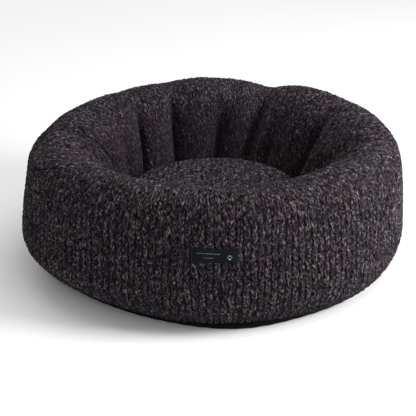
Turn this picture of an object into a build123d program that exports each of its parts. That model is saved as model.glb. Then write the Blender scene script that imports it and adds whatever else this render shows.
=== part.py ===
"""Round pet bed: a knit-covered ring bolster on a flat fabric base, with a loose cushion in its nest.

Millimetres, +Z up. The origin is the centre of the flat underside, and the front, with the label, faces -Y.
"""

import math
import os

from build123d import *

# ---- overall sizes ----
bed_radius = 250.0  # at the widest part of the ring
bed_height = 180.0  # to the crest of the ring
widest_height = 60.0  # where the outer wall stands upright
base_radius = 212.0  # flat underside
base_edge_height = 8.0  # the base fabric turned up round its edge
base_edge_flare = 6.0  # how far the turned-up edge leans out
nest_radius = 131.0  # foot of the inner wall
nest_wall_height = 45.0  # below this the inner wall is upright

# ---- the ring's top: insets from the widest radius, flares from the nest, drops from the crest ----
outer_shoulder_inset = 9.0  # where the outer wall starts to turn in
outer_shoulder_drop = 35.0
crest_inset = 39.0
inner_shoulder_flare = 45.0  # where the top starts to fall into the nest
inner_shoulder_drop = 19.0
nest_lip_flare = 20.0  # half way up the funnel of the inner wall
nest_lip_drop = 64.0

# ---- headings of the surfaces, in degrees from the outward horizontal ----
under_slope = 27.0  # where the knit leaves the base
outer_shoulder_slope = 106.0
inner_shoulder_slope = 232.0
lip_slope = 247.0  # down the funnel of the inner wall
cushion_under_slope = 22.0  # where the cushion's side leaves its flat foot
cushion_shoulder_slope = 130.0
cushion_top_slope = 172.0

# ---- cloth, wadding and thread ----
bolster_knit = 4.0
cushion_knit = 3.0
base_fabric = 1.6
panel_fabric = 1.2
liner_fabric = 0.8
pad_thickness = 10.0
pad_edge_radius = 2.0
thread_radius = 0.8

# ---- cushion ----
cushion_clearance = 2.5  # to the nest's wall
cushion_seam_height = 58.0  # where the top and the underside are sewn together
cushion_shoulder_height = 91.0
cushion_shoulder_inset = 9.0
cushion_top_height = 104.0  # where the shoulder has rounded over into the crown
cushion_top_inset = 33.0
cushion_crown_height = 108.0
cushion_foot_inset = 22.0  # how far the flat underside stays in from the side
cushion_foot_rise = 3.0  # from the flat underside to where the side starts

# ---- label ----
label_height = 113.0  # its centre, on the front wall
label_width = 58.0
label_depth = 18.0
label_thickness = 0.8
label_lift = 0.3  # above the knit's surface
stitch_length = 3.0
stitch_width = 0.9
stitch_thickness = 0.6
stitches_per_end = 3
stitch_margin = 3.0  # from the label's end to its stitches

# ---- join that closes the knit strip into a ring ----
join_depth = 1.4
join_turn = 0.4  # degrees

gap = 0.2  # between layers of one body
rest_gap = 0.4  # between the cushion and the nest floor

FAR = 2 * bed_radius  # well outside the bed

# ---- heights that follow ----
floor_top = base_fabric + gap + pad_thickness + gap + panel_fabric
cushion_bottom = floor_top + rest_gap
knit_edge_radius = base_radius + base_edge_flare
front = -90.0
back = 90.0

# ---- the skins as stations of (radius, height, heading), from the foot up and over ----
crest_radius = bed_radius - crest_inset
ring_stations = [
    (knit_edge_radius, base_edge_height, under_slope),
    (bed_radius, widest_height, 90),
    (bed_radius - outer_shoulder_inset, bed_height - outer_shoulder_drop, outer_shoulder_slope),
    (crest_radius, bed_height, 180),
    (nest_radius + inner_shoulder_flare, bed_height - inner_shoulder_drop, inner_shoulder_slope),
    (nest_radius + nest_lip_flare, bed_height - nest_lip_drop, lip_slope),
    (nest_radius, nest_wall_height, 270),
]
cushion_side = nest_radius - cushion_clearance
cushion_foot_radius = cushion_side - cushion_foot_inset
cushion_stations = [
    (cushion_foot_radius + cushion_foot_rise, cushion_bottom + cushion_foot_rise, cushion_under_slope),
    (cushion_side, cushion_seam_height, 90),
    (cushion_side - cushion_shoulder_inset, cushion_shoulder_height, cushion_shoulder_slope),
    (cushion_side - cushion_top_inset, cushion_top_height, cushion_top_slope),
    (0, cushion_crown_height, 180),
]


def heading(degrees):
    """The unit vector at an angle from the outward horizontal."""
    return (math.cos(math.radians(degrees)), math.sin(math.radians(degrees)))


def layer_curve(stations, inset):
    """A smooth curve through stations of (radius, height, heading), moved to the left of its run by inset."""
    points, tangents = [], []
    for radius, height, degrees in stations:
        along = heading(degrees)
        points.append((radius - inset * along[1], height + inset * along[0]))
        tangents.append(along)
    return Spline(*points, tangents=tangents)


def kept_heights(low, high):
    """A band of the section plane between two heights, as a sketch to intersect with."""
    with BuildSketch() as band:
        with Locations((FAR / 2, (low + high) / 2)):
            Rectangle(FAR, high - low)
    return band.sketch


def bolster_face(inset=0.0, low=-FAR, high=FAR, azimuth=0.0):
    """The ring's cross-section with its outline moved inwards by inset, kept between two heights.

    Its floor is set low by the knit's thickness, so that the inner layers rest on the base fabric.
    """
    floor = base_fabric - bolster_knit + inset
    with BuildSketch(Plane.XZ.rotated((0, 0, azimuth))) as face:
        with BuildLine():
            skin = layer_curve(ring_stations, inset)
            Polyline(skin @ 1, (nest_radius + inset, floor), (base_radius - inset, floor), skin @ 0)
        make_face()
        add(kept_heights(low, high), mode=Mode.INTERSECT)
    return face.sketch


def cushion_face(inset=0.0, low=-FAR, high=FAR):
    """Half of the cushion's cross-section with its outline moved inwards by inset, kept between two heights."""
    floor = cushion_bottom + inset
    with BuildSketch(Plane.XZ) as face:
        with BuildLine():
            skin = layer_curve(cushion_stations, inset)
            Polyline(skin @ 1, (0, floor), (cushion_foot_radius - inset, floor), skin @ 0)
        make_face()
        add(kept_heights(low, high), mode=Mode.INTERSECT)
    return face.sketch


def thread_ring(radius, height):
    """A seam's thread, as a ring."""
    with BuildPart() as ring:
        with Locations((0, 0, height)):
            Torus(radius, thread_radius)
    return ring.part


def wall_patch(lift, thickness, azimuth, width, height, depth):
    """A thin patch along the outer wall, lift above its surface, centred on an azimuth and a height."""
    arc = math.degrees(width / bed_radius)
    low, high = height - depth / 2, height + depth / 2
    with BuildPart() as patch:
        revolve(
            bolster_face(-lift - thickness, low, high, azimuth - arc / 2), axis=Axis.Z, revolution_arc=arc
        )
        revolve(bolster_face(-lift), axis=Axis.Z, mode=Mode.SUBTRACT)
        Cylinder(crest_radius, FAR, mode=Mode.SUBTRACT)
    return patch.part


def save(part, name):
    """Labels a finished piece and writes its STEP file."""
    part.label = name
    export_step(part, f"parts/{name}.step")


os.makedirs("parts", exist_ok=True)

# ---- ring: knit cover with the join that closes its strip, inner bag and filling ----
with BuildPart() as cover_join_seam:
    revolve(bolster_face(azimuth=back), axis=Axis.Z, revolution_arc=join_turn)
    revolve(bolster_face(join_depth), axis=Axis.Z, mode=Mode.SUBTRACT)
    with Locations((0, 0, base_edge_height - FAR / 2)):
        Cylinder(FAR, FAR, mode=Mode.SUBTRACT)
    Cylinder(crest_radius, FAR, mode=Mode.SUBTRACT)
save(cover_join_seam.part, "cover_join_seam")

with BuildPart() as bolster_cover:
    revolve(bolster_face(), axis=Axis.Z)
    revolve(bolster_face(bolster_knit), axis=Axis.Z, mode=Mode.SUBTRACT)
    with Locations((0, 0, base_fabric + gap - FAR / 2)):
        Cylinder(FAR, FAR, mode=Mode.SUBTRACT)
    with BuildSketch(Plane.XY):
        Circle(FAR)
        Circle(nest_radius + bolster_knit, mode=Mode.SUBTRACT)
    extrude(amount=base_edge_height, mode=Mode.SUBTRACT)
    add(cover_join_seam.part, mode=Mode.SUBTRACT)
save(bolster_cover.part, "bolster_cover")

with BuildPart() as bolster_liner:
    revolve(bolster_face(bolster_knit + gap), axis=Axis.Z)
    revolve(bolster_face(bolster_knit + gap + liner_fabric), axis=Axis.Z, mode=Mode.SUBTRACT)
save(bolster_liner.part, "bolster_liner")

with BuildPart() as bolster_fill:
    revolve(bolster_face(bolster_knit + liner_fabric + 2 * gap), axis=Axis.Z)
save(bolster_fill.part, "bolster_fill")

# ---- base: black fabric with its edge turned up, wadding pad and nest floor ----
with BuildPart() as base_cover:
    with BuildSketch(Plane.XZ):
        with BuildLine():
            Polyline(
                (0, 0),
                (base_radius, 0),
                (knit_edge_radius, base_edge_height),
                (knit_edge_radius - base_fabric, base_edge_height),
                (base_radius - base_fabric, base_fabric),
                (0, base_fabric),
                close=True,
            )
        make_face()
    revolve(axis=Axis.Z)
save(base_cover.part, "base_cover")

pad_radius = nest_radius - 2 * thread_radius - 2 * gap
with BuildPart() as base_pad:
    with BuildSketch(Plane.XY.offset(base_fabric + gap)):
        Circle(pad_radius)
    extrude(amount=pad_thickness)
    fillet(base_pad.edges(), pad_edge_radius)
save(base_pad.part, "base_pad")

with BuildPart() as nest_floor:
    with BuildSketch(Plane.XY.offset(floor_top - panel_fabric)):
        Circle(nest_radius - gap)
    extrude(amount=panel_fabric)
save(nest_floor.part, "nest_floor")

# ---- seam threads, inside the seams ----
base_thread_radius = knit_edge_radius - base_fabric - 3.25 * thread_radius
base_thread_height = base_edge_height - thread_radius - 1.5 * gap
save(thread_ring(base_thread_radius, base_thread_height), "base_seam_thread")
nest_thread_radius = nest_radius - thread_radius - gap
nest_thread_height = floor_top - panel_fabric - gap - thread_radius
save(thread_ring(nest_thread_radius, nest_thread_height), "nest_seam_thread")

# ---- label on the front wall, and its stitches ----
label = wall_patch(label_lift, label_thickness, front, label_width, label_height, label_depth)
save(label, "side_label")

stitch_turn = math.degrees((label_width / 2 - stitch_margin) / bed_radius)
stitch_pitch = (label_depth - stitch_length) / stitches_per_end
stitch_lift = label_lift + label_thickness
with BuildPart() as label_stitches:
    for azimuth in (front - stitch_turn, front + stitch_turn):
        for row in range(stitches_per_end):
            height = label_height + (row - (stitches_per_end - 1) / 2) * stitch_pitch
            add(wall_patch(stitch_lift, stitch_thickness, azimuth, stitch_width, height, stitch_length))
save(label_stitches.part, "label_stitches")

# ---- cushion: knit top, plain underside, inner bag and filling ----
with BuildPart() as cushion_top:
    revolve(cushion_face(low=cushion_seam_height), axis=Axis.Z)
    revolve(cushion_face(cushion_knit), axis=Axis.Z, mode=Mode.SUBTRACT)
save(cushion_top.part, "cushion_top")

with BuildPart() as cushion_underside:
    revolve(cushion_face(high=cushion_seam_height), axis=Axis.Z)
    revolve(cushion_face(panel_fabric), axis=Axis.Z, mode=Mode.SUBTRACT)
save(cushion_underside.part, "cushion_underside")

with BuildPart() as cushion_liner:
    revolve(cushion_face(cushion_knit + gap), axis=Axis.Z)
    revolve(cushion_face(cushion_knit + gap + liner_fabric), axis=Axis.Z, mode=Mode.SUBTRACT)
save(cushion_liner.part, "cushion_liner")

with BuildPart() as cushion_fill:
    revolve(cushion_face(cushion_knit + liner_fabric + 2 * gap), axis=Axis.Z)
save(cushion_fill.part, "cushion_fill")

cushion_thread_radius = cushion_side - panel_fabric - thread_radius - gap
save(thread_ring(cushion_thread_radius, cushion_seam_height - thread_radius - gap), "cushion_seam_thread")
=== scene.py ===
import bpy
import math
import numpy as np
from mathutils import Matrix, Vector


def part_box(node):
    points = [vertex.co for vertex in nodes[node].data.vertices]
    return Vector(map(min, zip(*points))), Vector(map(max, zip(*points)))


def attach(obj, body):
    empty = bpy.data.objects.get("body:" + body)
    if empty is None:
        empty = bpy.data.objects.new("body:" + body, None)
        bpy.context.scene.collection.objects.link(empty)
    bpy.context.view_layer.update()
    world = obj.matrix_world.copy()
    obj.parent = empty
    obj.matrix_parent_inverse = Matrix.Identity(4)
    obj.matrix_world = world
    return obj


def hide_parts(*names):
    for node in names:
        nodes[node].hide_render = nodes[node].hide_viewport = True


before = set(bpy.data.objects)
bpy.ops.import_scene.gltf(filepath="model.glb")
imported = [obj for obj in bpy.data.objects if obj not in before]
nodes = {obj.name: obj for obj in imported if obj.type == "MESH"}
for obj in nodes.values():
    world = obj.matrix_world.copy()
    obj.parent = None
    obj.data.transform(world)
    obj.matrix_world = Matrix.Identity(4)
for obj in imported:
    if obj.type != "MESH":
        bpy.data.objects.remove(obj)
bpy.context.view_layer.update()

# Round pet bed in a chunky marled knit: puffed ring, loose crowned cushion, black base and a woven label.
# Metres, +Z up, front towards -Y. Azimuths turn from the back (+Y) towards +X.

TAU = 2 * math.pi
MM = 0.001
scene = bpy.context.scene

# ---- sizes, from the frame
cover_low, cover_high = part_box("bolster_cover")
base_low, base_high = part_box("base_cover")
_, floor_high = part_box("nest_floor")
under_low, under_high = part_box("cushion_underside")
_, crown_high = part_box("cushion_top")
label_low, label_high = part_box("side_label")

BED_RADIUS = (cover_high[0] - cover_low[0]) / 2
BED_HEIGHT = cover_high[2]
COVER_FOOT = cover_low[2]
KNIT_EDGE_RADIUS = (base_high[0] - base_low[0]) / 2
KNIT_EDGE_HEIGHT = base_high[2]
BASE_RADIUS = KNIT_EDGE_RADIUS - 6 * MM
NEST_RADIUS = floor_high[0]
NEST_FLOOR = floor_high[2]
CUSHION_RADIUS = under_high[0]
CUSHION_BOTTOM = under_low[2]
CUSHION_SEAM = under_high[2]
CUSHION_CROWN = crown_high[2]
LABEL_HEIGHT = (label_low[2] + label_high[2]) / 2

KNIT = 4 * MM
CUSHION_KNIT = 3 * MM
LINER = 0.8 * MM
PANEL = 1.2 * MM
BASE_FABRIC = 1.6 * MM
GAP = 0.2 * MM

# the ring's skin from its lower edge up the outer wall, over the crest and down into the nest, as
# radius, height and heading in degrees from the outward horizontal
RING_STATIONS = [
    (KNIT_EDGE_RADIUS, KNIT_EDGE_HEIGHT, 27),
    (BED_RADIUS, 60 * MM, 90),
    (BED_RADIUS - 9 * MM, BED_HEIGHT - 35 * MM, 106),
    (BED_RADIUS - 39 * MM, BED_HEIGHT, 180),
    (NEST_RADIUS + 45 * MM, BED_HEIGHT - 19 * MM, 232),
    (NEST_RADIUS + 20 * MM, BED_HEIGHT - 64 * MM, 247),
    (NEST_RADIUS, 45 * MM, 270),
    (NEST_RADIUS, COVER_FOOT, 270),
]
# the cushion's skin from the middle of its underside to the middle of its top
CUSHION_STATIONS = [
    (0.0, CUSHION_BOTTOM, 0),
    (CUSHION_RADIUS - 28 * MM, CUSHION_BOTTOM, 0),
    (CUSHION_RADIUS - 19 * MM, CUSHION_BOTTOM + 3 * MM, 22),
    (CUSHION_RADIUS, CUSHION_SEAM, 90),
    (CUSHION_RADIUS - 9 * MM, CUSHION_CROWN - 17 * MM, 130),
    (CUSHION_RADIUS - 33 * MM, CUSHION_CROWN - 4 * MM, 172),
    (0.0, CUSHION_CROWN, 180),
]

# ---- knit
WALES = 176  # ribs of the knit round the ring
COURSE = 6.6 * MM  # height of one row of stitches on the ring
SAMPLES_PER_WALE = 8
ROWS_PER_COURSE = 5
KNIT_RELIEF = 2.4 * MM
SEAT_WALE = 6.5 * MM
SEAT_COURSE = 5.0 * MM
SEAT_RELIEF = 2.2 * MM
CHEVRON = 1.1  # how many courses a leg of a stitch climbs across its half of the wale

# gathers of the ring's inner wall: azimuth at the crest and at the nest floor in degrees, depth in
# millimetres, and the share along the skin where each one starts
GATHERS = [
    (-170, -166, 6, 0.58), (-146, -149, 8, 0.56), (-121, -118, 13, 0.48), (-100, -94, 20, 0.40),
    (-80, -66, 28, 0.40), (-57, -59, 15, 0.54), (-38, -46, 30, 0.48), (-19, -20, 32, 0.48), (4, 3, 31, 0.54),
    (24, 14, 27, 0.45), (33, 26, 22, 0.55), (58, 47, 34, 0.45), (94, 70, 25, 0.42), (112, 103, 14, 0.48),
    (131, 134, 9, 0.56), (155, 158, 6, 0.58),
]

# broad swellings and dents that make the ring uneven: azimuth in degrees, share along the skin,
# millimetres out, and the spread of each way
SWELLINGS = [
    (70, 0.43, 3, 30, 0.09), (42, 0.46, 2, 20, 0.08), (-88, 0.36, -6, 34, 0.14), (-108, 0.42, 5, 8, 0.06),
    (-84, 0.66, 15, 36, 0.10), (180, 0.63, 13, 60, 0.09), (180, 0.53, 4, 50, 0.08), (-6, 0.52, 5, 10, 0.08),
    (20, 0.47, -3, 8, 0.07), (-92, 0.10, 4, 30, 0.06), (100, 0.64, 3, 25, 0.09),
]
# where the base's edge, and the knit's with it, leaves a true circle: azimuth, millimetres out, spread
BASE_SHIFTS = [(-143, -12, 26), (122, 7, 26)]
CREST_SWELL = 5.5 * MM
SHOULDER_SWELL = 3.0 * MM
BASE_BULGE = 9 * MM  # how far the base fabric sags out at the front
NEST_MOUTH = 222 * MM  # radius within which the ring's cloth is cut with ease for its gathers
NEST_LIMIT = NEST_RADIUS + 0.3 * MM  # the ring's skin stays outside this


# ---- shape helpers
def curve_points(stations, count):
    """Even steps along the smooth curve through stations of (radius, height, heading), and its length."""
    fine = []
    for (r0, z0, a0), (r1, z1, a1) in zip(stations, stations[1:]):
        s = np.linspace(0, 1, 60)[:, None]
        p0, p1 = np.array([r0, z0]), np.array([r1, z1])
        chord = np.linalg.norm(p1 - p0)
        t0 = chord * np.array([math.cos(math.radians(a0)), math.sin(math.radians(a0))])
        t1 = chord * np.array([math.cos(math.radians(a1)), math.sin(math.radians(a1))])
        h = (2 * s**3 - 3 * s**2 + 1) * p0 + (s**3 - 2 * s**2 + s) * t0
        fine.append(h + (3 * s**2 - 2 * s**3) * p1 + (s**3 - s**2) * t1)
    fine = np.concatenate(fine)
    run = np.concatenate([[0], np.cumsum(np.linalg.norm(np.diff(fine, axis=0), axis=1))])
    at = np.linspace(0, run[-1], count)
    return np.stack([np.interp(at, run, fine[:, k]) for k in (0, 1)], -1), run[-1]


def lattice(x, y, seed, period=4096):
    """Smooth noise from -1 to 1, one random value per unit of x and y, repeating in x after period."""
    table = np.random.default_rng(seed).uniform(-1, 1, (509, 521))
    i, j = np.floor(x).astype(int), np.floor(y).astype(int)
    a, b = x - i, y - j
    a, b = a * a * (3 - 2 * a), b * b * (3 - 2 * b)
    i0, i1 = i % period % 509, (i + 1) % period % 509
    j0, j1 = j % 521, (j + 1) % 521
    low = table[i0, j0] * (1 - a) + table[i1, j0] * a
    high = table[i0, j1] * (1 - a) + table[i1, j1] * a
    return low * (1 - b) + high * b


def smooth_step(low, high, x):
    t = np.clip((x - low) / (high - low), 0, 1)
    return t * t * (3 - 2 * t)


def polar(radius, height, azimuth):
    return np.stack([radius * np.sin(azimuth), radius * np.cos(azimuth), height], -1)


def turned(profile, offset, azimuth, shift=0):
    """The profile turned round the axis, its skin moved out by offset and its radius by shift."""
    slope = unit(np.gradient(profile, axis=0))
    radius = profile[None, :, 0] + slope[None, :, 1] * offset + shift
    return polar(radius, profile[None, :, 1] - slope[None, :, 0] * offset, azimuth)


def round_grid(around, along):
    """Azimuth, share of the way round and share of the way along, on a grid of columns and rows."""
    turn, way = np.meshgrid(np.arange(around) / around, np.linspace(0, 1, along), indexing="ij")
    return -math.pi + TAU * turn, turn, way


def normals_of(points):
    """Unit normals of a grid that is closed round its columns, pointing out of the soft form."""
    du = np.roll(points, -1, 0) - np.roll(points, 1, 0)
    dv = np.gradient(points, axis=1)
    cross = np.cross(dv, du)
    length = np.linalg.norm(cross, axis=-1, keepdims=True)
    return cross / np.maximum(length, 1e-12)


def softened(grid, times):
    """The grid with each point drawn towards its neighbours, its first and last rows kept."""
    out = grid.copy()
    for _ in range(times):
        out = (np.roll(out, 1, 0) + 2 * out + np.roll(out, -1, 0)) / 4
        out[:, 1:-1] = (out[:, :-2] + 2 * out[:, 1:-1] + out[:, 2:]) / 4
    return out


def between(p0, p1, p2, p3, t):
    """The smooth curve through four points, at t from the second to the third."""
    return 0.5 * (2 * p1 + (p2 - p0) * t + (2 * p0 - 5 * p1 + 4 * p2 - p3) * t**2
                  + (3 * p1 - p0 - 3 * p2 + p3) * t**3)


def cubic_rows(grid, count):
    """The grid with count rows, on smooth curves through its own."""
    m = grid.shape[1]
    at = np.linspace(0, m - 1, count)
    k = np.minimum(np.floor(at).astype(int), m - 2)
    t = (at - k)[None, :, None]
    before, after = np.maximum(k - 1, 0), np.minimum(k + 2, m - 1)
    return between(grid[:, before], grid[:, k], grid[:, k + 1], grid[:, after], t)


def finer(grid, around, along):
    """The grid, closed round its columns, with more columns and rows on smooth curves through its own."""
    wrapped = np.concatenate([grid[-2:], grid, grid[:3]])
    n = grid.shape[0]
    at = np.arange(around) * n / around
    k = np.floor(at).astype(int)
    t = (at - k)[:, None, None]
    return cubic_rows(between(wrapped[k + 1], wrapped[k + 2], wrapped[k + 3], wrapped[k + 4], t), along)


def unit(vectors):
    return vectors / np.linalg.norm(vectors, axis=-1, keepdims=True)


def poles_first(grid):
    """The grid's points or values as a list: its two poles, then the rows between them."""
    return np.concatenate([grid[:1, 0], grid[:1, -1], grid[:, 1:-1].reshape(-1, *grid.shape[2:])])


# ---- mesh helpers
def mesh_object(name, vertices, faces_by_size, corner_maps, values=None):
    """An object of smooth faces, from index arrays of each size of face and the UVs of each map's corners."""
    loops = np.concatenate([faces.reshape(-1) for faces in faces_by_size])
    sizes = np.concatenate([np.full(len(faces), faces.shape[1]) for faces in faces_by_size])
    mesh = bpy.data.meshes.new(name)
    mesh.vertices.add(len(vertices))
    mesh.vertices.foreach_set("co", vertices.reshape(-1).astype(np.float32))
    mesh.loops.add(len(loops))
    mesh.loops.foreach_set("vertex_index", loops.astype(np.int32))
    mesh.polygons.add(len(sizes))
    starts = np.concatenate([[0], np.cumsum(sizes)[:-1]])
    mesh.polygons.foreach_set("loop_start", starts.astype(np.int32))
    mesh.update(calc_edges=True)
    mesh.polygons.foreach_set("use_smooth", np.ones(len(sizes), bool))
    for key, corners in corner_maps.items():
        layer = mesh.uv_layers.new(name=key)
        flat = np.concatenate([c.reshape(-1, 2) for c in corners]).astype(np.float32)
        layer.data.foreach_set("uv", flat.reshape(-1))
    for key, data in (values or {}).items():
        attribute = mesh.attributes.new(key, "FLOAT", "POINT")
        attribute.data.foreach_set("value", data.reshape(-1).astype(np.float32))
    thing = bpy.data.objects.new(name, mesh)
    scene.collection.objects.link(thing)
    return thing


def skin(name, points, ends="open", bands=1, steps=(1.0, 1.0), flat=None, values=None):
    """A mesh over a grid closed round its columns.

    Its rows end open, or "ring" where the last meets the first, or "poles" where each end is one point. The
    bake map is laid in bands. The cloth map counts steps per column and row, or holds flat's values.
    """
    n, m, _ = points.shape
    rows = m if ends == "ring" else m - 1
    poles = ends == "poles"
    col, row = np.meshgrid(np.arange(n), np.arange(rows), indexing="ij")
    cc = np.stack([col, col, col + 1, col + 1], -1)
    cr = np.stack([row, row + 1, row + 1, row], -1)
    if poles:
        index = 2 + (cc % n) * (m - 2) + (cr - 1)
        index = np.where(cr == 0, 0, np.where(cr == m - 1, 1, index))
        cuts = [(slice(1, rows - 1), [0, 1, 2, 3]), (0, [0, 1, 2]), (-1, [0, 1, 3])]
        parts = [[grid[:, at][..., corners] for grid in (index, cc, cr)] for at, corners in cuts]
        vertices = poles_first(points)
    else:
        index = (cc % n) * m + (cr % m)
        parts = [(index, cc, cr)]
        vertices = points.reshape(-1, 3)
    maps = {"OFBake": [], "cloth": []}
    for _, c, r in parts:
        if poles:
            reach = 0.495 * r / (m - 1)
            turn = TAU * c / n
            maps["OFBake"].append(np.stack([0.5 + reach * np.sin(turn), 0.5 + reach * np.cos(turn)], -1))
        else:
            band = np.floor(c[..., :1] * bands / n + 1e-9)
            u = 0.003 + 0.994 * (c * bands / n - band)
            v = (band + 0.003 + 0.994 * r / rows) / bands
            maps["OFBake"].append(np.stack([u, v], -1))
        if flat is None:
            maps["cloth"].append(np.stack([c * steps[0], r * steps[1]], -1))
        else:
            maps["cloth"].append(flat[c % n, r % m])
    faces = [p[0].reshape(-1, p[0].shape[-1]) for p in parts]
    if values and poles:
        values = {key: poles_first(grid) for key, grid in values.items()}
    return mesh_object(name, vertices, faces, maps, values)


def joined(name, parts):
    """One object from several, keeping their maps."""
    with bpy.context.temp_override(active_object=parts[0], selected_editable_objects=parts):
        bpy.ops.object.join()
    parts[0].name = name
    return parts[0]


def threads(name, centres, along, out, lengths, radii, rise=0.5):
    """Short rounded stitches of thread, each an arched bead on centres, pointing along, standing out."""
    rings, sides = 7, 8
    centres, along, out = np.asarray(centres, float), unit(along), unit(out)
    across = np.cross(along, out)
    t = np.linspace(-1, 1, rings + 2)
    lengths = np.broadcast_to(lengths, len(centres))[:, None, None]
    radii = np.broadcast_to(radii, len(centres))[:, None, None]
    spine = centres[:, None] + along[:, None] * t[None, :, None] * lengths / 2
    spine = spine + out[:, None] * (1 - t[None, :, None] ** 2) * radii * rise
    turn = TAU * np.arange(sides) / sides
    girth = np.sqrt(np.maximum(1 - np.abs(t) ** 3, 0))[1:-1]
    around = (across[:, None, None] * np.cos(turn)[None, None, :, None]
              + out[:, None, None] * np.sin(turn)[None, None, :, None])
    body = spine[:, 1:-1, None] + around * girth[None, :, None, None] * radii[..., None]
    per = 2 + rings * sides
    vertices = np.concatenate([spine[:, :1], spine[:, -1:], body.reshape(len(centres), -1, 3)], 1)
    ring, side = np.meshgrid(np.arange(rings - 1), np.arange(sides), indexing="ij")
    corner = np.array([[0, 0], [1, 0], [1, 1], [0, 1]])
    corner_ring = ring[..., None] + corner[:, 0]
    corner_side = side[..., None] + corner[:, 1]
    quads = 2 + (corner_ring * sides + corner_side % sides).reshape(-1, 4)
    near = 2 + np.arange(sides)
    after = np.roll(near, -1)
    beyond = (rings - 1) * sides
    first = np.stack([np.zeros(sides, int), near, after], -1)
    last = np.stack([np.ones(sides, int), beyond + after, beyond + near], -1)
    shift = (np.arange(len(centres)) * per)[:, None, None]
    four = (quads[None] + shift).reshape(-1, 4)
    three = (np.concatenate([first, last])[None] + shift).reshape(-1, 3)
    cells = int(math.ceil(math.sqrt(len(centres))))
    place = np.arange(len(centres))
    origin = np.stack([place % cells, place // cells], -1)[:, None, None] / cells
    quad_uv = np.stack([corner_ring / rings, corner_side / sides], -1).reshape(-1, 4, 2)
    tri_uv = np.tile(np.array([[0.90, 0.1], [0.95, 0.1], [0.95, 0.3]]), (2 * sides, 1, 1))
    uvs = [origin + 0.96 * quad_uv[None] / cells, origin + tri_uv[None] / cells]
    return mesh_object(name, vertices.reshape(-1, 3), [four, three], {"OFBake": uvs, "cloth": uvs})


# ---- cloth simulation
def run_cloth(points, rest, pin, pressure, frames, ends="open", bending=0.6):
    """Puffs a grid of cloth from points, with the fabric's own lengths taken from rest."""
    n, m, _ = points.shape
    cloth = skin("cloth_run", points, ends)
    cloth.shape_key_add(name="Basis")
    key = cloth.shape_key_add(name="rest")
    if ends == "poles":
        rest, pin = poles_first(rest), poles_first(pin)
    key.data.foreach_set("co", rest.reshape(-1).astype(np.float32))
    group = cloth.vertex_groups.new(name="pin")
    for i, weight in enumerate(pin.reshape(-1).tolist()):
        group.add([i], weight, "REPLACE")
    modifier = cloth.modifiers.new("Cloth", "CLOTH")
    settings = {
        "quality": 6, "mass": 0.25, "tension_stiffness": 8.0, "compression_stiffness": 8.0,
        "shear_stiffness": 3.2, "bending_stiffness": bending, "tension_damping": 8,
        "compression_damping": 8, "shear_damping": 8, "bending_damping": 1.0, "air_damping": 3,
        "vertex_group_mass": "pin", "pin_stiffness": 1.0, "rest_shape_key": key,
        "use_pressure": True, "uniform_pressure_force": pressure,
    }
    for name, setting in settings.items():
        setattr(modifier.settings, name, setting)
    modifier.settings.effector_weights.gravity = 0
    modifier.point_cache.frame_start = 1
    modifier.point_cache.frame_end = frames
    for number in range(1, frames + 1):
        scene.frame_set(number)
    done = cloth.evaluated_get(bpy.context.evaluated_depsgraph_get())
    out = np.empty(len(cloth.data.vertices) * 3, np.float32)
    done.data.vertices.foreach_get("co", out)
    out = out.reshape(-1, 3).astype(float)
    mesh = cloth.data
    bpy.data.objects.remove(cloth)
    bpy.data.meshes.remove(mesh)
    scene.frame_set(1)
    if ends != "poles":
        return out.reshape(n, m, 3)
    poles = np.broadcast_to(out[:2, None], (2, n, 3))
    return np.concatenate([poles[0][:, None], out[2:].reshape(n, m - 2, 3), poles[1][:, None]], 1)


def capped(start, moved, most):
    """Moved points, none of them further than most from where it started."""
    step = moved - start
    length = np.linalg.norm(step, axis=-1, keepdims=True)
    return start + step * (most * np.tanh(length / most) / np.maximum(length, 1e-9))


def held(points, radius, softness, side):
    """Points with their distance from the axis held softly above radius (side 1) or below it (side -1)."""
    reach = np.hypot(points[..., 0], points[..., 1])
    kept = radius + side * softness * np.logaddexp(0, side * (reach - radius) / softness)
    out = points.copy()
    out[..., :2] *= (kept / np.maximum(reach, 1e-6))[..., None]
    return out


# ---- the ring's soft form
RING_AROUND = 240
RING_ALONG = 72


def puffs(azimuth, way):
    """How far into the ring its skin lies for the gathers, in metres, deepest along each gather."""
    degrees = np.degrees(azimuth)
    slide = smooth_step(0.55, 1.0, way)
    lines = [top + (foot - top) * slide for top, foot, _, _ in GATHERS]
    depths = [depth * MM * smooth_step(start, start + 0.22, way) for _, _, depth, start in GATHERS]
    lines.append(lines[0] + 360)
    depths.append(depths[0])
    fade = 1 - 0.5 * smooth_step(0.82, 1, way)
    out = np.zeros_like(degrees)
    for k in range(len(GATHERS)):
        for turn in (0, 360, -360):
            x = (degrees + turn - lines[k]) / (lines[k + 1] - lines[k])
            inside = (x >= 0) & (x < 1)
            x = np.clip(x, 0, 1)
            depth = depths[k] * (1 - x) + depths[k + 1] * x
            out = np.where(inside, depth * fade * (1 - np.sin(np.pi * x) ** 0.75), out)
    return out


def base_shift(azimuth):
    """How far the base's edge sits out of a true circle."""
    out = 0 * azimuth
    for middle, amount, wide in BASE_SHIFTS:
        apart = (np.degrees(azimuth) - middle + 180) % 360 - 180
        out = out + amount * MM * np.exp(-((apart / wide) ** 2))
    return out


def swellings(azimuth, way):
    """How far the ring's skin stands out of its even profile."""
    degrees = np.degrees(azimuth)
    out = CREST_SWELL * np.exp(-(((way - 0.52) / 0.13) ** 2))
    out = out + SHOULDER_SWELL * np.exp(-(((way - 0.36) / 0.08) ** 2))
    for middle, place, amount, wide, long in SWELLINGS:
        apart = (degrees - middle + 180) % 360 - 180
        out = out + amount * MM * np.exp(-((apart / wide) ** 2) - ((way - place) / long) ** 2)
    return out


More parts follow.
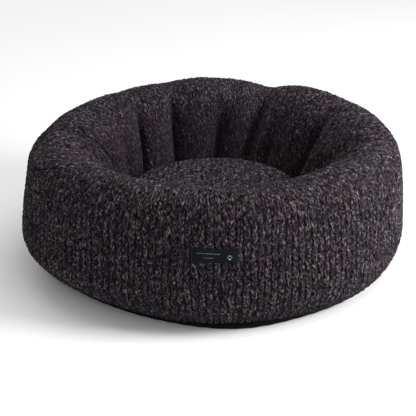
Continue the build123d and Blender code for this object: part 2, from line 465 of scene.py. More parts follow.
def ring_form():
    profile, run = curve_points(RING_STATIONS, RING_ALONG)
    azimuth, turn, way = round_grid(RING_AROUND, RING_ALONG)
    swell = 2.6 * MM * lattice(turn * 9, way * 5, 11, 9) * smooth_step(0, 0.2, way)
    swell += 1.2 * MM * lattice(turn * 23, way * 9, 12, 23) * smooth_step(0, 0.15, way)
    offset = swell * (1 - smooth_step(0.8, 1, way)) - puffs(azimuth, way)
    offset = offset + swellings(azimuth, way) * smooth_step(0, 0.12, way)
    start = turned(profile, offset, azimuth, base_shift(azimuth) * (1 - smooth_step(0, 0.16, way)))
    # the cloth is cut a little narrow round the outer wall, with ease inside the nest's mouth, and 1% long
    reach = profile[None, :, 0] + 0 * azimuth
    ease = np.clip(NEST_MOUTH - reach, 0, 1) * 0.55 * (way > 0.4)
    cut_radius = np.where(reach < NEST_MOUTH, reach + ease, reach * 0.985)
    cut_height = np.linspace(0, run, RING_ALONG)[None, :] * 1.01 + 0 * azimuth
    rest = polar(cut_radius, cut_height, azimuth)
    pin = np.zeros((RING_AROUND, RING_ALONG))
    pin[:, 0] = 1
    pin[:, -2:] = 1
    puffed = capped(start, run_cloth(start, rest, pin, 5.0, 26, bending=0.35), 13 * MM)
    return softened(held(puffed, NEST_LIMIT, 0.8 * MM, 1), 1)


# ---- knit relief
def knit_relief(wale, course, seed, period=4096, ribbing=1.0):
    """Height of the knit's surface, from 0 in a groove to about 1 on a yarn, with uneven stitches."""
    w = wale + 0.20 * lattice(wale * 0.5, course * 0.6, seed, max(period // 2, 1))
    w = w + 0.15 * lattice(wale * 2, course * 1.6, seed + 1, 2 * period)
    c = course + 0.45 * lattice(wale, course * 0.7, seed + 2, period)
    m = np.abs(2 * (w - np.floor(w)) - 1)
    stack = c - CHEVRON * m
    t = stack - np.floor(stack)
    leg = np.sin(np.pi * t) ** 0.8
    bulge = (1 - 0.40 * np.exp(-((m / 0.22) ** 2))) * (1 - ribbing * np.exp(-(((1 - m) / 0.31) ** 2)))
    which_leg = np.floor(w) * 2 + (w - np.floor(w) > 0.5)
    gain = 1 + 0.22 * lattice(which_leg, np.floor(stack), seed + 3, 2 * period)
    rough = 0.17 * lattice(wale * 4, course * 3, seed + 4, 4 * period)
    return np.clip((0.45 + 0.55 * leg) * (0.10 + 0.90 * bulge) * gain + rough, 0, 1.25)


ring_coarse = ring_form()
ring_normals = normals_of(ring_coarse)
_, RING_RUN = curve_points(RING_STATIONS, 100)
COURSES = int(round(RING_RUN / COURSE))
columns = WALES * SAMPLES_PER_WALE
rows = COURSES * ROWS_PER_COURSE + 1
ring_base = finer(ring_coarse, columns, rows)
ring_out = unit(finer(ring_normals, columns, rows))
azimuth, turn, way = round_grid(columns, rows)
wale = turn * WALES
course = way * COURSES
relief = knit_relief(wale, course, 21, WALES, 1 - 0.6 * smooth_step(0.30, 0.52, way))

# the label presses the knit flat, the join at the back draws it in, and its lower edge is scalloped
LABEL_PRESS = 0.9 * MM
JOIN_DRAW = 1.2 * MM
SCALLOP = 1.6 * MM
LABEL_WIDTH = 58 * MM
LABEL_DEPTH = 18 * MM
LABEL_TILT = math.radians(-2.5)
# where the knit lies in the label's own directions: along it to the right, and up it
label_cos, label_sin = math.cos(LABEL_TILT), math.sin(LABEL_TILT)
from_middle = np.where(azimuth > 0, math.pi - azimuth, -math.pi - azimuth) * BED_RADIUS
above_middle = ring_base[..., 2] - LABEL_HEIGHT
label_x = from_middle * label_cos + above_middle * label_sin
label_y = above_middle * label_cos - from_middle * label_sin
under_label = (1 - smooth_step(0, 4 * MM, np.abs(label_x) - LABEL_WIDTH / 2)) * (way < 0.45)
under_label = under_label * (1 - smooth_step(0, 4 * MM, np.abs(label_y) - LABEL_DEPTH / 2))
join = np.exp(-((azimuth * BED_RADIUS / (2.2 * MM)) ** 2)) * (way < 0.5)
depth = KNIT_RELIEF * (1 - relief) * (1 - 0.6 * under_label) + LABEL_PRESS * under_label + JOIN_DRAW * join
knit_top = ring_base - ring_out * depth[..., None]
scallop = (1 - smooth_step(0, 1.6, course)) * (0.5 - 0.5 * np.cos(TAU * wale))
knit_top[..., 2] -= SCALLOP * scallop
knit_inside = cubic_rows(ring_base - ring_out * KNIT, 34)[:, ::-1]
knit_shell = np.concatenate([knit_top, knit_inside], 1)
# painted shade: the yarn's colour is darkened in the folds, low in the nest and up its back wall, most at
# azimuth -34
DEEP_FOLD = 24 * MM
# painted shade in the folds, deepest where the gathers are deepest
painted_shade = 0.9 * np.clip(puffs(azimuth, way) / DEEP_FOLD, 0, 1) ** 1.3
# painted shade in the nest, weighted towards its back wall at azimuth -34
nest_shade_side = smooth_step(-0.3, 0.7, np.cos(azimuth + math.radians(34)))
painted_nest_shade = 0.60 * smooth_step(0.48, 0.70, way) * nest_shade_side + 0.35 * smooth_step(0.80, 0.93, way)
shell_values = {
    "relief": np.concatenate([relief, np.full(knit_inside.shape[:2], 0.4)], 1),
    "painted_shade": np.concatenate([np.maximum(painted_shade, painted_nest_shade), np.zeros(knit_inside.shape[:2])], 1),
}
knit_steps = (1 / SAMPLES_PER_WALE, 1 / ROWS_PER_COURSE)
ring_cover = skin("ring_knit_cover", knit_shell, "ring", bands=2, steps=knit_steps, values=shell_values)
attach(ring_cover, "bed")
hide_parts("bolster_cover")


def ring_bag(inset):
    """A closed form inside the ring's skin: its skin moved in by inset, and a flat underside."""
    outer = ring_coarse - ring_normals * inset
    low = BASE_FABRIC - KNIT + inset
    outer[..., 2] = np.maximum(outer[..., 2], low)
    foot, edge = outer[:, -1:], outer[:, :1]
    share = np.linspace(0, 1, 16)[None, 1:-1, None]
    under = foot * (1 - share) + edge * share
    under[..., 2] = low
    reach = np.hypot(under[..., 0], under[..., 1])
    limit = np.minimum(reach, BASE_RADIUS - inset + base_shift(np.arctan2(under[..., 0], under[..., 1])))
    under[..., :2] *= (limit / reach)[..., None]
    return np.concatenate([outer, under], 1)


def bag(name, outer, inner, ends):
    """A thin bag as its outside and its inside, side by side in the bake map."""
    outside = skin(name, outer, ends, bands=2)
    inside = skin(name + "_inside", inner, ends, bands=2)
    inside.data.flip_normals()
    for half, scale, shift in ((outside, [0.75, 0.99], [0, 0]), (inside, [0.24, 0.24], [0.755, 0])):
        layer = half.data.uv_layers["OFBake"]
        uv = np.empty(len(layer.data) * 2, np.float32)
        layer.data.foreach_get("uv", uv)
        uv = uv.reshape(-1, 2) * np.float32(scale) + np.float32(shift)
        layer.data.foreach_set("uv", uv.reshape(-1))
    return joined(name, [outside, inside])


ring_liner = bag("ring_liner", ring_bag(KNIT + GAP), ring_bag(KNIT + GAP + LINER), "ring")
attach(ring_liner, "bed")
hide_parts("bolster_liner")
ring_fill = skin("ring_fill", ring_bag(KNIT + 2 * GAP + LINER), "ring", bands=2)
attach(ring_fill, "bed")
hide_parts("bolster_fill")

# ---- cushion
CUSHION_AROUND = 180
CUSHION_ALONG = 90


def cushion_form():
    """The cushion's skin as a grid from under its middle to the middle of its top, and its seam's row."""
    profile, _ = curve_points(CUSHION_STATIONS, CUSHION_ALONG)
    profile[0, 0] = profile[-1, 0] = 0
    azimuth, turn, way = round_grid(CUSHION_AROUND, CUSHION_ALONG)
    side = smooth_step(0.36, 0.44, way) * (1 - smooth_step(0.62, 0.8, way))
    offset = -1.4 * MM * (0.5 + 0.5 * lattice(turn * 34, way * 8, 31, 34)) * side
    uneven = smooth_step(0.4, 0.55, way) * (1 - smooth_step(0.93, 1, way))
    offset = offset - 3.0 * MM * (0.5 + 0.5 * lattice(turn * 7, way * 7, 32, 7)) * uneven
    offset = offset + 3.5 * MM * smooth_step(0.55, 0.7, way)
    start = turned(profile, offset, azimuth)
    seam = int(np.argmax(profile[:, 0]))
    rest = polar(profile[None, :, 0] * 1.012 + 0 * azimuth, profile[None, :, 1] + 0 * azimuth, azimuth)
    pin = np.zeros((CUSHION_AROUND, CUSHION_ALONG))
    pin[:, seam] = 1
    pin[:, profile[:, 1] < CUSHION_BOTTOM + 2 * MM] = 1
    pin[:, -1] = 0
    puffed = capped(start, run_cloth(start, rest, pin, 1.5, 16, "poles"), 4 * MM)
    puffed = held(puffed, CUSHION_RADIUS + 0.4 * MM, 0.5 * MM, -1)
    puffed[..., 2] = np.maximum(puffed[..., 2], CUSHION_BOTTOM)
    return softened(puffed, 1), seam


cushion_coarse, seam_row = cushion_form()
cushion_normals = normals_of(cushion_coarse)
cushion_normals[:, 0] = [0, 0, -1]
cushion_normals[:, -1] = [0, 0, 1]
seat_columns, seat_rows = 640, 128
seat_base = finer(cushion_coarse[:, seam_row:], seat_columns, seat_rows)[:, ::-1]
seat_out = unit(finer(cushion_normals[:, seam_row:], seat_columns, seat_rows)[:, ::-1])
seat_azimuth, _, seat_way = round_grid(seat_columns, seat_rows)
seat_steps = np.linalg.norm(np.diff(seat_base, axis=1), axis=-1)
seat_reach = np.concatenate([np.zeros((seat_columns, 1)), np.cumsum(seat_steps, 1)], 1)
seat_wale = seat_reach * np.sin(seat_azimuth) / SEAT_WALE + 0.5
seat_course = seat_reach * np.cos(seat_azimuth) / SEAT_COURSE
seat_relief = knit_relief(seat_wale + 200, seat_course + 200, 41)
nubs = 0.5 + 0.5 * lattice(seat_wale * 1.7 + 300, seat_course * 1.3 + 300, 43)
seat_relief = 0.55 * seat_relief + 0.45 * nubs
calm = 1 - 0.6 * smooth_step(0.93, 1, seat_way)
seat_top = seat_base - seat_out * (SEAT_RELIEF * (1 - seat_relief) * calm)[..., None]
seat_top[:, 0] = seat_top[:, 0].mean(0)
seat_inside = cubic_rows(seat_base - seat_out * CUSHION_KNIT, 26)[:, ::-1]
seat_map = np.stack([seat_wale, seat_course], -1)
seat_map = np.concatenate([seat_map, cubic_rows(seat_map, 26)[:, ::-1]], 1)
seat_values = np.concatenate([seat_relief, np.full(seat_inside.shape[:2], 0.4)], 1)
cushion_cover = skin(
    "cushion_knit_top", np.concatenate([seat_top, seat_inside], 1), "poles", flat=seat_map,
    values={"relief": seat_values},
)
cushion_cover.data.flip_normals()
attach(cushion_cover, "cushion")
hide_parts("cushion_top")

# the plain panel under the cushion, drawn in by the seam round its side
under_columns, under_rows = 432, 90
under_base = finer(cushion_coarse[:, : seam_row + 1], under_columns, under_rows)
under_out = unit(finer(cushion_normals[:, : seam_row + 1], under_columns, under_rows))
under_azimuth, under_turn, under_way = round_grid(under_columns, under_rows)
pucker = 0.45 * MM * (0.5 + 0.5 * np.sin(TAU * 72 * under_turn)) * np.exp((under_way - 1) * 16)
under_face = under_base - under_out * pucker[..., None]
under_inside = cubic_rows(under_base - under_out * PANEL, 30)[:, ::-1]
under_reach = np.linspace(0, CUSHION_RADIUS * 1.25, under_rows)[None, :] + 0 * under_turn
under_map = np.stack([under_reach * np.sin(under_azimuth), under_reach * np.cos(under_azimuth)], -1)
under_map = np.concatenate([under_map, cubic_rows(under_map, 30)[:, ::-1]], 1)
under_shell = np.concatenate([under_face, under_inside], 1)
cushion_under = skin("cushion_under_panel", under_shell, "poles", flat=under_map)
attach(cushion_under, "cushion")
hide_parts("cushion_underside")

insets = (CUSHION_KNIT + GAP, CUSHION_KNIT + GAP + LINER, CUSHION_KNIT + 2 * GAP + LINER)
bag_face, bag_inside, fill_face = [cushion_coarse - cushion_normals * inset for inset in insets]
cushion_liner = bag("cushion_bag", bag_face, bag_inside, "poles")
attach(cushion_liner, "cushion")
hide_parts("cushion_liner")
cushion_fill = skin("cushion_filling", fill_face, "poles")
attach(cushion_fill, "cushion")
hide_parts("cushion_fill")

# ---- base and nest floor
# the black base, flat below and drawn up in small waves to the knit's edge
BASE_WAVES = 62
WAVE_DEPTH = 1.1 * MM
SAG_AZIMUTH = 170
EDGE_TOP = KNIT_EDGE_HEIGHT - 0.3 * MM
EDGE_REACH = KNIT_EDGE_RADIUS - 1.2 * MM
RISE_REACH = BASE_RADIUS + 0.5 * MM
RISE_START = 1.5 * MM
outline = [(r, 0.0) for r in np.linspace(0, BASE_RADIUS - 4 * MM, 24)]
outline += [(BASE_RADIUS - 2 * MM, 0.15 * MM), (BASE_RADIUS - 0.6 * MM, 0.6 * MM), (RISE_REACH, RISE_START)]
for s in np.linspace(0.2, 1, 6):
    outline.append((RISE_REACH + s * (EDGE_REACH - RISE_REACH), RISE_START + s * (EDGE_TOP - RISE_START)))
outline = np.array(outline)
band_azimuth, band_turn, band_way = round_grid(720, len(outline))
wobble = 1.4 * lattice(band_turn * BASE_WAVES / 3, band_way * 3, 51)
wave = 0.5 + 0.5 * np.sin(TAU * BASE_WAVES * band_turn + wobble)
drawn_in = -WAVE_DEPTH * wave * np.exp((band_way - 1) * len(outline) / 7)
from_sag = (np.degrees(band_azimuth) - SAG_AZIMUTH + 180) % 360 - 180
sag = BASE_BULGE * np.exp(-((from_sag / 17) ** 2) - ((band_way - 0.80) / 0.07) ** 2)
band_shift = base_shift(band_azimuth) * smooth_step(0.4, 0.9, band_way) + sag
band_face = turned(outline, drawn_in, band_azimuth, band_shift)
band_inside = turned(outline, drawn_in - BASE_FABRIC + GAP, band_azimuth, band_shift)[:, ::-1]
band_steps = np.linalg.norm(np.diff(outline, axis=0), axis=1)
band_reach = np.concatenate([[0], np.cumsum(band_steps)])[None, :] + 0 * band_turn
band_map = np.stack([band_reach * np.sin(band_azimuth), band_reach * np.cos(band_azimuth)], -1)
band_map = np.concatenate([band_map, band_map[:, ::-1]], 1)
base_band = skin("base_band", np.concatenate([band_face, band_inside], 1), "poles", flat=band_map)
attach(base_band, "bed")
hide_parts("base_cover")

thread_low, thread_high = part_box("base_seam_thread")
thread_middle = (thread_low[2] + thread_high[2]) / 2
THREAD_RADIUS = thread_high[2] - thread_middle
seam_turn, seam_angle = np.meshgrid(np.arange(720) / 720, TAU * np.arange(12) / 12, indexing="ij")
seam_azimuth = TAU * seam_turn - math.pi
ply = THREAD_RADIUS * (0.85 + 0.15 * np.cos(2 * seam_angle + TAU * 160 * seam_turn))
seam_radius = thread_high[0] - THREAD_RADIUS + base_shift(seam_azimuth) + ply * np.cos(seam_angle)
seam_line = polar(seam_radius, thread_middle + ply * np.sin(seam_angle), seam_azimuth)
base_thread = skin("base_thread", seam_line, "ring", bands=8)
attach(base_thread, "bed")
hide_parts("base_seam_thread")

# the wadding pad under the nest floor, soft at its edge and a little uneven
pad_low, pad_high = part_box("base_pad")
pad_middle = (pad_low[2] + pad_high[2]) / 2
pad_profile, _ = curve_points([
    (0.0, pad_low[2], 0), (pad_high[0] - 5 * MM, pad_low[2], 0), (pad_high[0], pad_middle, 90),
    (pad_high[0] - 5 * MM, pad_high[2], 180), (0.0, pad_high[2], 180),
], 90)
pad_profile[0, 0] = pad_profile[-1, 0] = 0
pad_azimuth, pad_turn, pad_way = round_grid(240, 90)
hollow = 0.5 * MM * (0.5 + 0.5 * lattice(pad_turn * 24, pad_way * 16, 61, 24))
hollow = hollow * np.sin(np.pi * pad_way) ** 0.5
pad_height = pad_profile[None, :, 1] + hollow * np.where(pad_profile[:, 1] < pad_middle, 1, -1)[None, :]
pad_edge = pad_profile[None, :, 0] * (1 - 0.004 * (0.5 + 0.5 * lattice(pad_turn * 40, 0 * pad_way, 62, 40)))
pad = skin("pad_wadding", polar(pad_edge, pad_height, pad_azimuth), "poles")
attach(pad, "bed")
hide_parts("base_pad")

# the floor of the nest, quilted down a little onto its pad
FLOOR_RADIUS = NEST_RADIUS - 0.4 * MM
TUFT_PITCH = 45 * MM
floor_azimuth, _, floor_way = round_grid(240, 60)
floor_reach = (1 - floor_way) * FLOOR_RADIUS
tuft = 0.5 + 0.5 * np.cos(TAU * floor_reach * np.sin(floor_azimuth) / TUFT_PITCH)
tuft = tuft * (0.5 + 0.5 * np.cos(TAU * floor_reach * np.cos(floor_azimuth) / TUFT_PITCH))
floor_top = polar(floor_reach, NEST_FLOOR - 0.15 * MM * tuft - 0.1 * MM * floor_way, floor_azimuth)
floor_under = polar(floor_reach, NEST_FLOOR - PANEL + 0 * floor_way, floor_azimuth)
floor_shell = np.concatenate([floor_under[:, ::-1], floor_top], 1)
floor_panel = skin("nest_floor_panel", floor_shell, "poles", flat=floor_shell[..., :2])
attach(floor_panel, "bed")
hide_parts("nest_floor")

# ---- label
wall_rows = ring_coarse[:, : int(RING_ALONG * 0.45)]
wall_reach = np.hypot(wall_rows[..., 0], wall_rows[..., 1])


def wall_point(along, up, lift):
    """The place on the front wall at along and up in the label's directions, lift above the yarns."""
    right = along * label_cos - up * label_sin
    height = LABEL_HEIGHT + along * label_sin + up * label_cos
    place = (-right / BED_RADIUS) % TAU
    column = (place / TAU * RING_AROUND + RING_AROUND) % RING_AROUND
    near = np.floor(column).astype(int)
    share = column - near
    reach = np.zeros_like(right)
    for part, weight in ((near, 1 - share), ((near + 1) % RING_AROUND, share)):
        pairs = zip(height.ravel(), part.ravel())
        flat = [np.interp(z, wall_rows[k, :, 2], wall_reach[k]) for z, k in pairs]
        reach += weight * np.array(flat).reshape(right.shape)
    return polar(reach + lift, height, -math.pi - right / BED_RADIUS)


LABEL_BOTTOM = -0.5 * MM
LABEL_TOP = 0.3 * MM
LABEL_BOW = 0.5 * MM


def on_label(along, up, lift):
    """Places lift above the label's face, which bows out in its middle."""
    along, up = np.asarray(along, float), np.asarray(up, float)
    x, y = along / (LABEL_WIDTH / 2), up / (LABEL_DEPTH / 2)
    return wall_point(along, up, LABEL_TOP + LABEL_BOW * (1 - x**4) * (1 - y**4) + lift)


def label_patch(across, up):
    """The label as a thin closed patch, its face, its back and the strip round its edge."""
    x, y = np.meshgrid(np.linspace(-1, 1, across), np.linspace(-1, 1, up), indexing="ij")
    cloth = np.stack([x * LABEL_WIDTH / 2, y * LABEL_DEPTH / 2], -1)
    sides = [on_label(cloth[..., 0], cloth[..., 1], lift) for lift in (0, LABEL_BOTTOM - LABEL_TOP)]
    count = across * up
    index = np.arange(count).reshape(across, up)
    face = np.stack([index[:-1, :-1], index[1:, :-1], index[1:, 1:], index[:-1, 1:]], -1).reshape(-1, 4)
    back = face[:, ::-1] + count
    rim = np.concatenate([index[:, 0], index[-1, 1:], index[-2::-1, -1], index[0, -2:0:-1]])
    onward = np.roll(rim, -1)
    side = np.stack([onward, rim, rim + count, onward + count], -1)
    sheet = np.stack([(x + 1) / 2, (y + 1) / 2], -1).reshape(-1, 2) * [0.99, 0.44]
    cloth = np.tile(cloth.reshape(-1, 2), (2, 1))
    step = 1 / len(rim)
    run = np.arange(len(rim))[:, None] * step + [step, 0, 0, step]
    strip = np.stack([run, np.broadcast_to([0.93, 0.93, 0.99, 0.99], run.shape)], -1)
    maps = {
        "OFBake": [sheet[face] + [0, 0.01], sheet[back - count] + [0, 0.47], strip],
        "cloth": [cloth[face], cloth[back], cloth[side]],
    }
    vertices = np.concatenate([grid.reshape(-1, 3) for grid in sides])
    return mesh_object("woven_label", vertices, [face, back, side], maps)


label = label_patch(80, 28)


def label_thread(name, along, up, towards_x, towards_y, lengths, radii, lift=0.0, rise=0.4):
    """Stitches on the label: places, headings in its own directions, lengths and radii."""
    along, up = np.asarray(along, float), np.asarray(up, float)
    tx, ty = np.broadcast_to(towards_x, along.shape), np.broadcast_to(towards_y, along.shape)
    centres = on_label(along, up, lift)
    ahead = on_label(along + tx * MM, up + ty * MM, lift) - centres
    out = centres * [1, 1, 0]
    return threads(name, centres, ahead, out, lengths, radii, rise)


# rows of running stitch and a small paw stand in for the words and mark of a real label
upper_x = np.linspace(-19, 7, 12) * MM
lower_x = np.linspace(-11, -1, 5) * MM
marks = [
    label_thread("m1", upper_x, np.full(12, 2.6 * MM), 1, 0, 1.5 * MM, 0.28 * MM),
    label_thread("m2", lower_x, np.full(5, -2.8 * MM), 1, 0, 1.3 * MM, 0.26 * MM),
    label_thread(
        "m3", np.array([17.4, 18.9, 20.9, 22.4]) * MM, np.array([-1.3, 0.5, 0.5, -1.3]) * MM,
        0, 1, 1.7 * MM, 0.55 * MM, -0.2 * MM, 0.0,
    ),
    label_thread("m4", [19.9 * MM], [-3.6 * MM], 1, 0, 3.6 * MM, 1.2 * MM, -0.7 * MM, 0.0),
]
label_marks = joined("label_marks", marks)
ends_x = np.repeat([-26.0, 26.0], 4) * MM
ends_y = np.tile([-6.0, -2.0, 2.0, 6.0], 2) * MM
label_sewing = label_thread("label_sewing", ends_x, ends_y, 0.12, 1, 3.0 * MM, 0.32 * MM)
for piece in (label, label_marks, label_sewing):
    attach(piece, "bed")
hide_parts("side_label")
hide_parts("label_stitches")

# ---- join up the back
back_column = columns // 2
join_rows = np.arange(4, int(rows * 0.5), 6)
join_points = ring_base[back_column, join_rows] - ring_out[back_column, join_rows] * 1.3 * MM
run_up = ring_base[back_column, join_rows + 1] - ring_base[back_column, join_rows - 1]
join_out = ring_out[back_column, join_rows]
slant = unit(np.cross(run_up, join_out)) + unit(run_up) * 0.5
join_sewing = threads("join_sewing", join_points, slant, join_out, 5 * MM, 0.6 * MM)
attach(join_sewing, "bed")
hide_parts("cover_join_seam")


# ---- materials
class Shading:
    """A node material built up in small steps. Uniform values go straight onto the shader's sockets."""

    def __init__(self, name, roughness, sheen=0.0, specular=0.3):
        self.material = bpy.data.materials.new(name)
        self.material.use_nodes = True
        self.nodes = self.material.node_tree.nodes
        self.links = self.material.node_tree.links
        self.shader = self.nodes["Principled BSDF"]
        uniform = {"Roughness": roughness, "Specular IOR Level": specular, "Sheen Weight": sheen}
        uniform["Sheen Roughness"] = 0.6
        for socket, amount in uniform.items():
            self.shader.inputs[socket].default_value = amount

    def put(self, value, socket):
        if isinstance(value, bpy.types.NodeSocket):
            self.links.new(value, socket)
        elif value is not None:
            socket.default_value = value

    def math(self, operation, a, b=None):
        step = self.nodes.new("ShaderNodeMath")
        step.operation = operation
        self.put(a, step.inputs[0])
        self.put(b, step.inputs[1])
        return step.outputs[0]

    def times(self, a, b):
        return self.math("MULTIPLY", a, b)

    def plus(self, a, b):
        return self.math("ADD", a, b)

    def vector(self, *parts):
        step = self.nodes.new("ShaderNodeCombineXYZ")
        for part, socket in zip(parts, step.inputs):
            self.put(part, socket)
        return step.outputs[0]

    def split(self, vector):
        step = self.nodes.new("ShaderNodeSeparateXYZ")
        self.put(vector, step.inputs[0])
        return tuple(step.outputs)

    def place(self):
        return self.nodes.new("ShaderNodeTexCoord").outputs["Object"]

    def cloth(self):
        step = self.nodes.new("ShaderNodeUVMap")
        step.uv_map = "cloth"
        return step.outputs[0]

    def value(self, name):
        step = self.nodes.new("ShaderNodeAttribute")
        step.attribute_name = name
        return step.outputs["Fac"]

    def noise(self, vector, scale, detail=2.0, roughness=0.5):
        step = self.nodes.new("ShaderNodeTexNoise")
        self.put(vector, step.inputs["Vector"])
        step.inputs["Scale"].default_value = scale
        step.inputs["Detail"].default_value = detail
        step.inputs["Roughness"].default_value = roughness
        return step.outputs[0]

    def ramp(self, factor, stops):
        step = self.nodes.new("ShaderNodeValToRGB")
        self.put(factor, step.inputs[0])
        elements = step.color_ramp.elements
        while len(elements) < len(stops):
            elements.new(0.5)
        for element, (position, colour) in zip(elements, stops):
            element.position = position
            element.color = (*colour, 1)
        return step.outputs[0]

    def mix(self, factor, a, b, blend="MIX"):
        step = self.nodes.new("ShaderNodeMix")
        step.data_type = "RGBA"
        step.blend_type = blend
        self.put(factor, step.inputs[0])
        self.put(a, step.inputs[6])
        self.put(b, step.inputs[7])
        return step.outputs[2]

    def finish(self, colour, height, distance, strength=1.0):
        self.put(colour, self.shader.inputs["Base Color"])
        bump = self.nodes.new("ShaderNodeBump")
        bump.inputs["Strength"].default_value = strength
        bump.inputs["Distance"].default_value = distance
        self.put(height, bump.inputs["Height"])
        self.links.new(bump.outputs[0], self.shader.inputs["Normal"])
        return self.material


# painted shade: the dark tone the yarn is mixed towards in the folds and the nest
PAINTED_SHADE_YARN = (0.0180, 0.0120, 0.0185, 1)
YARN_TONES = [
    (0.40, (0.0034, 0.0014, 0.0037)), (0.47, (0.0142, 0.0086, 0.0146)),
    (0.55, (0.0560, 0.0465, 0.0560)), (0.63, (0.2450, 0.2240, 0.2450)),
]


def marled_knit(name, wale_mm, course_mm, brightness, groove, mottle):
    """Marled curly yarn: near black, with pale flecks along each leg of the stitches, tinted in patches."""
    s = Shading(name, 0.95, sheen=0.02, specular=0.03)
    wale, course, _ = s.split(s.cloth())
    m = s.math("ABSOLUTE", s.math("SUBTRACT", s.times(s.math("FRACT", wale), 2.0), 1.0))
    leg = s.math("FLOOR", s.times(wale, 2.0))
    curl = s.times(s.math("SUBTRACT", s.noise(s.place(), 230.0, 1.0), 0.5), 6.5)
    across = s.plus(s.times(m, wale_mm / 2), curl)
    up = s.times(course, course_mm)
    along = s.plus(s.times(up, 0.90), s.times(across, 0.44))
    over = s.math("SUBTRACT", s.times(across, 0.90), s.times(up, 0.44))
    lane = s.times(leg, 7.31)
    yarn = s.vector(s.times(along, 0.15), s.times(over, 0.80), lane)
    fleck = s.noise(yarn, 1.0, 2.0, 0.60)
    loose = s.noise(s.place(), 280.0, 2.0, 0.6)
    marl = s.plus(s.times(fleck, 0.82), s.times(loose, 0.18))
    colour = s.ramp(marl, [(at, [brightness * part for part in tone]) for at, tone in YARN_TONES])
    tint = s.ramp(s.noise(s.place(), 22.0, 2.0, 0.6), [
        (0.36, (0.91, 0.97, 1.02)),
        (0.46, (1.02, 0.94, 1.02)),
        (0.55, (1.05, 1.01, 0.90)),
        (0.66, (1.04, 0.88, 1.07)),
    ])
    colour = s.mix(1.0, colour, tint, "MULTIPLY")
    low, high = 1 - mottle, 1 + mottle
    x, y, z = s.split(s.place())
    clumps = s.noise(s.vector(x, s.times(y, 0.5), z), 190.0, 2.0, 0.6)
    patch = s.ramp(clumps, [(0.42, (low, low, low)), (0.58, (high, high, high))])
    colour = s.mix(1.0, colour, patch, "MULTIPLY")
    # painted shade: darker in the grooves between the stitches and lighter on their crowns, following the
    # relief
    relief = s.value("relief")
    low_shade = (groove * 1.15, groove * 0.85, groove * 1.2)
    shade = s.ramp(relief, [(0.15, low_shade), (0.80, (1.35, 1.35, 1.35))])
    colour = s.mix(1.0, colour, shade, "MULTIPLY")
    # painted shade: mixes the yarn towards the dark tone in the folds and the nest
    colour = s.mix(s.value("painted_shade"), colour, PAINTED_SHADE_YARN)
    fibre = s.vector(s.times(along, 0.9), s.times(over, 3.0), lane)
    height = s.plus(s.noise(fibre, 1.0, 2.0, 0.6), s.noise(s.place(), 1200.0, 1.0, 0.5))
    return s.finish(colour, height, 1.2 * MM)


def woven(name, dark, light, pitch, roughness, sheen=0.0):
    """Plain weave on the cloth map, in metres."""
    s = Shading(name, roughness, sheen=sheen, specular=0.08)
    x, y, _ = s.split(s.cloth())
    warp = s.math("SINE", s.times(x, TAU / pitch))
    weft = s.math("SINE", s.times(y, TAU / pitch))
    weave = s.times(warp, weft)
    slub = s.noise(s.place(), 260.0, 3.0, 0.6)
    height = s.plus(s.times(weave, 0.5), slub)
    colour = s.ramp(s.plus(s.times(weave, 0.12), slub), [(0.3, dark), (0.75, light)])
    return s.finish(colour, height, pitch * 0.25)


def fibres(name, dark, light, scale, roughness, distance):
    """Loose or spun fibres, from noise drawn out along one direction."""
    s = Shading(name, roughness, sheen=0.05, specular=0.1)
    x, y, z = s.split(s.place())
    drawn = s.vector(s.times(x, 0.35), y, z)
    fine = s.noise(drawn, scale, 4.0, 0.65)
    soft = s.noise(s.place(), scale * 0.12, 2.0, 0.5)
    mixed = s.plus(s.times(fine, 0.6), s.times(soft, 0.4))
    return s.finish(s.ramp(mixed, [(0.35, dark), (0.65, light)]), fine, distance)


def paint(material, *things):
    """Gives pieces or CAD nodes this material as their only one."""
    for thing in things:
        thing.data.materials.clear()
        thing.data.materials.append(material)


ring_yarn = marled_knit("ring_marled_yarn", TAU * BED_RADIUS / WALES / MM, COURSE / MM, 0.65, 0.12, 0.20)
seat_yarn = marled_knit("seat_marled_yarn", SEAT_WALE / MM, SEAT_COURSE / MM, 0.86, 0.10, 0.50)
black_cloth = woven("black_base_cloth", (0.003, 0.003, 0.0035), (0.012, 0.012, 0.013), 0.9 * MM, 0.75)
lining_cloth = woven("grey_lining", (0.18, 0.18, 0.19), (0.30, 0.30, 0.31), 0.5 * MM, 0.8)
label_cloth = woven("navy_black_label", (0.0025, 0.003, 0.005), (0.007, 0.008, 0.012), 0.45 * MM, 0.8)
pale_thread = fibres("pale_grey_thread", (0.22, 0.225, 0.24), (0.42, 0.43, 0.45), 3000.0, 0.7, 0.1 * MM)
black_thread = fibres("black_thread", (0.004, 0.004, 0.005), (0.016, 0.016, 0.018), 3000.0, 0.7, 0.1 * MM)
white_fill = fibres("polyester_filling", (0.55, 0.55, 0.54), (0.80, 0.80, 0.79), 420.0, 0.95, 1.0 * MM)
grey_wadding = fibres("pad_wadding", (0.40, 0.40, 0.41), (0.62, 0.62, 0.62), 300.0, 0.95, 0.6 * MM)

paint(ring_yarn, ring_cover)
paint(seat_yarn, cushion_cover)
paint(black_cloth, base_band, cushion_under, floor_panel)
paint(lining_cloth, ring_liner, cushion_liner)
paint(label_cloth, label)
paint(pale_thread, label_marks)
paint(black_thread, label_sewing, join_sewing, base_thread)
paint(white_fill, ring_fill, cushion_fill)
paint(black_thread, nodes["nest_seam_thread"], nodes["cushion_seam_thread"])
paint(grey_wadding, pad)

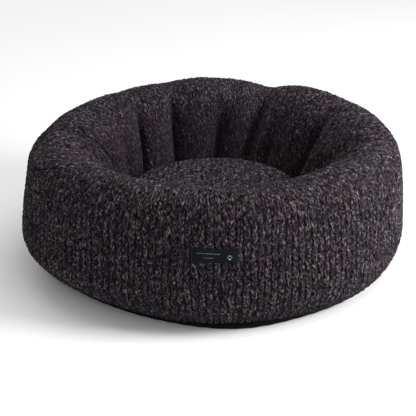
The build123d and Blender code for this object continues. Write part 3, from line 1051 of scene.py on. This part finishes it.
# ---- floor, light and camera
floor_mesh = bpy.data.meshes.new("studio_floor")
floor_mesh.from_pydata([(-6, -6, 0), (6, -6, 0), (6, 10, 0), (-6, 10, 0)], [], [(0, 1, 2, 3)])
studio_floor = bpy.data.objects.new("studio_floor", floor_mesh)
scene.collection.objects.link(studio_floor)
pale = Shading("pale_floor", 0.9, specular=0.1)
shades = pale.ramp(pale.noise(pale.place(), 3.0), [(0.3, (0.90, 0.90, 0.90)), (0.7, (0.92, 0.92, 0.92))])
paint(pale.finish(shades, pale.noise(pale.place(), 40.0), 0.1 * MM, 0.2), studio_floor)

world = bpy.data.worlds.new("studio")
scene.world = world
world.use_nodes = True
world.node_tree.nodes["Background"].inputs[0].default_value = (1, 1, 1, 1)
world.node_tree.nodes["Background"].inputs[1].default_value = 0.52

lamps = (
    ("key", (1.30, -0.40, 0.70), 0.6, 30),
    ("overhead", (0.5, -0.1, 1.9), 1.3, 14),
    ("front_fill", (-0.5, -1.9, 1.3), 1.0, 5),
    ("floor_wash", (-1.3, 3.0, 1.6), 1.4, 20),
)
for name, place, size, power in lamps:
    light = bpy.data.lights.new(name, "AREA")
    light.size = size
    light.energy = power
    lamp = bpy.data.objects.new(name, light)
    lamp.location = place
    lamp.rotation_euler = (Vector((0, 0, 0.08)) - Vector(place)).to_track_quat("-Z", "Y").to_euler()
    scene.collection.objects.link(lamp)

EYE = Vector((0, -2.0817, 0.9438))
AIM = Vector((0, 0, 0.09))
SIDE_SHIFT = 7.0 * MM
DOWN_SHIFT = 17.9 * MM
camera = bpy.data.cameras.new("camera")
camera.lens = 146.7
camera.sensor_width = 36
viewer = bpy.data.objects.new("camera", camera)
scene.collection.objects.link(viewer)
heading = (AIM - EYE).normalized()
across = heading.cross(Vector((0, 0, 1))).normalized()
upward = across.cross(heading)
target = AIM - SIDE_SHIFT * across - DOWN_SHIFT * upward
viewer.location = EYE
viewer.rotation_euler = (target - EYE).to_track_quat("-Z", "Y").to_euler()
scene.camera = viewer
scene.view_settings.view_transform = "Standard"
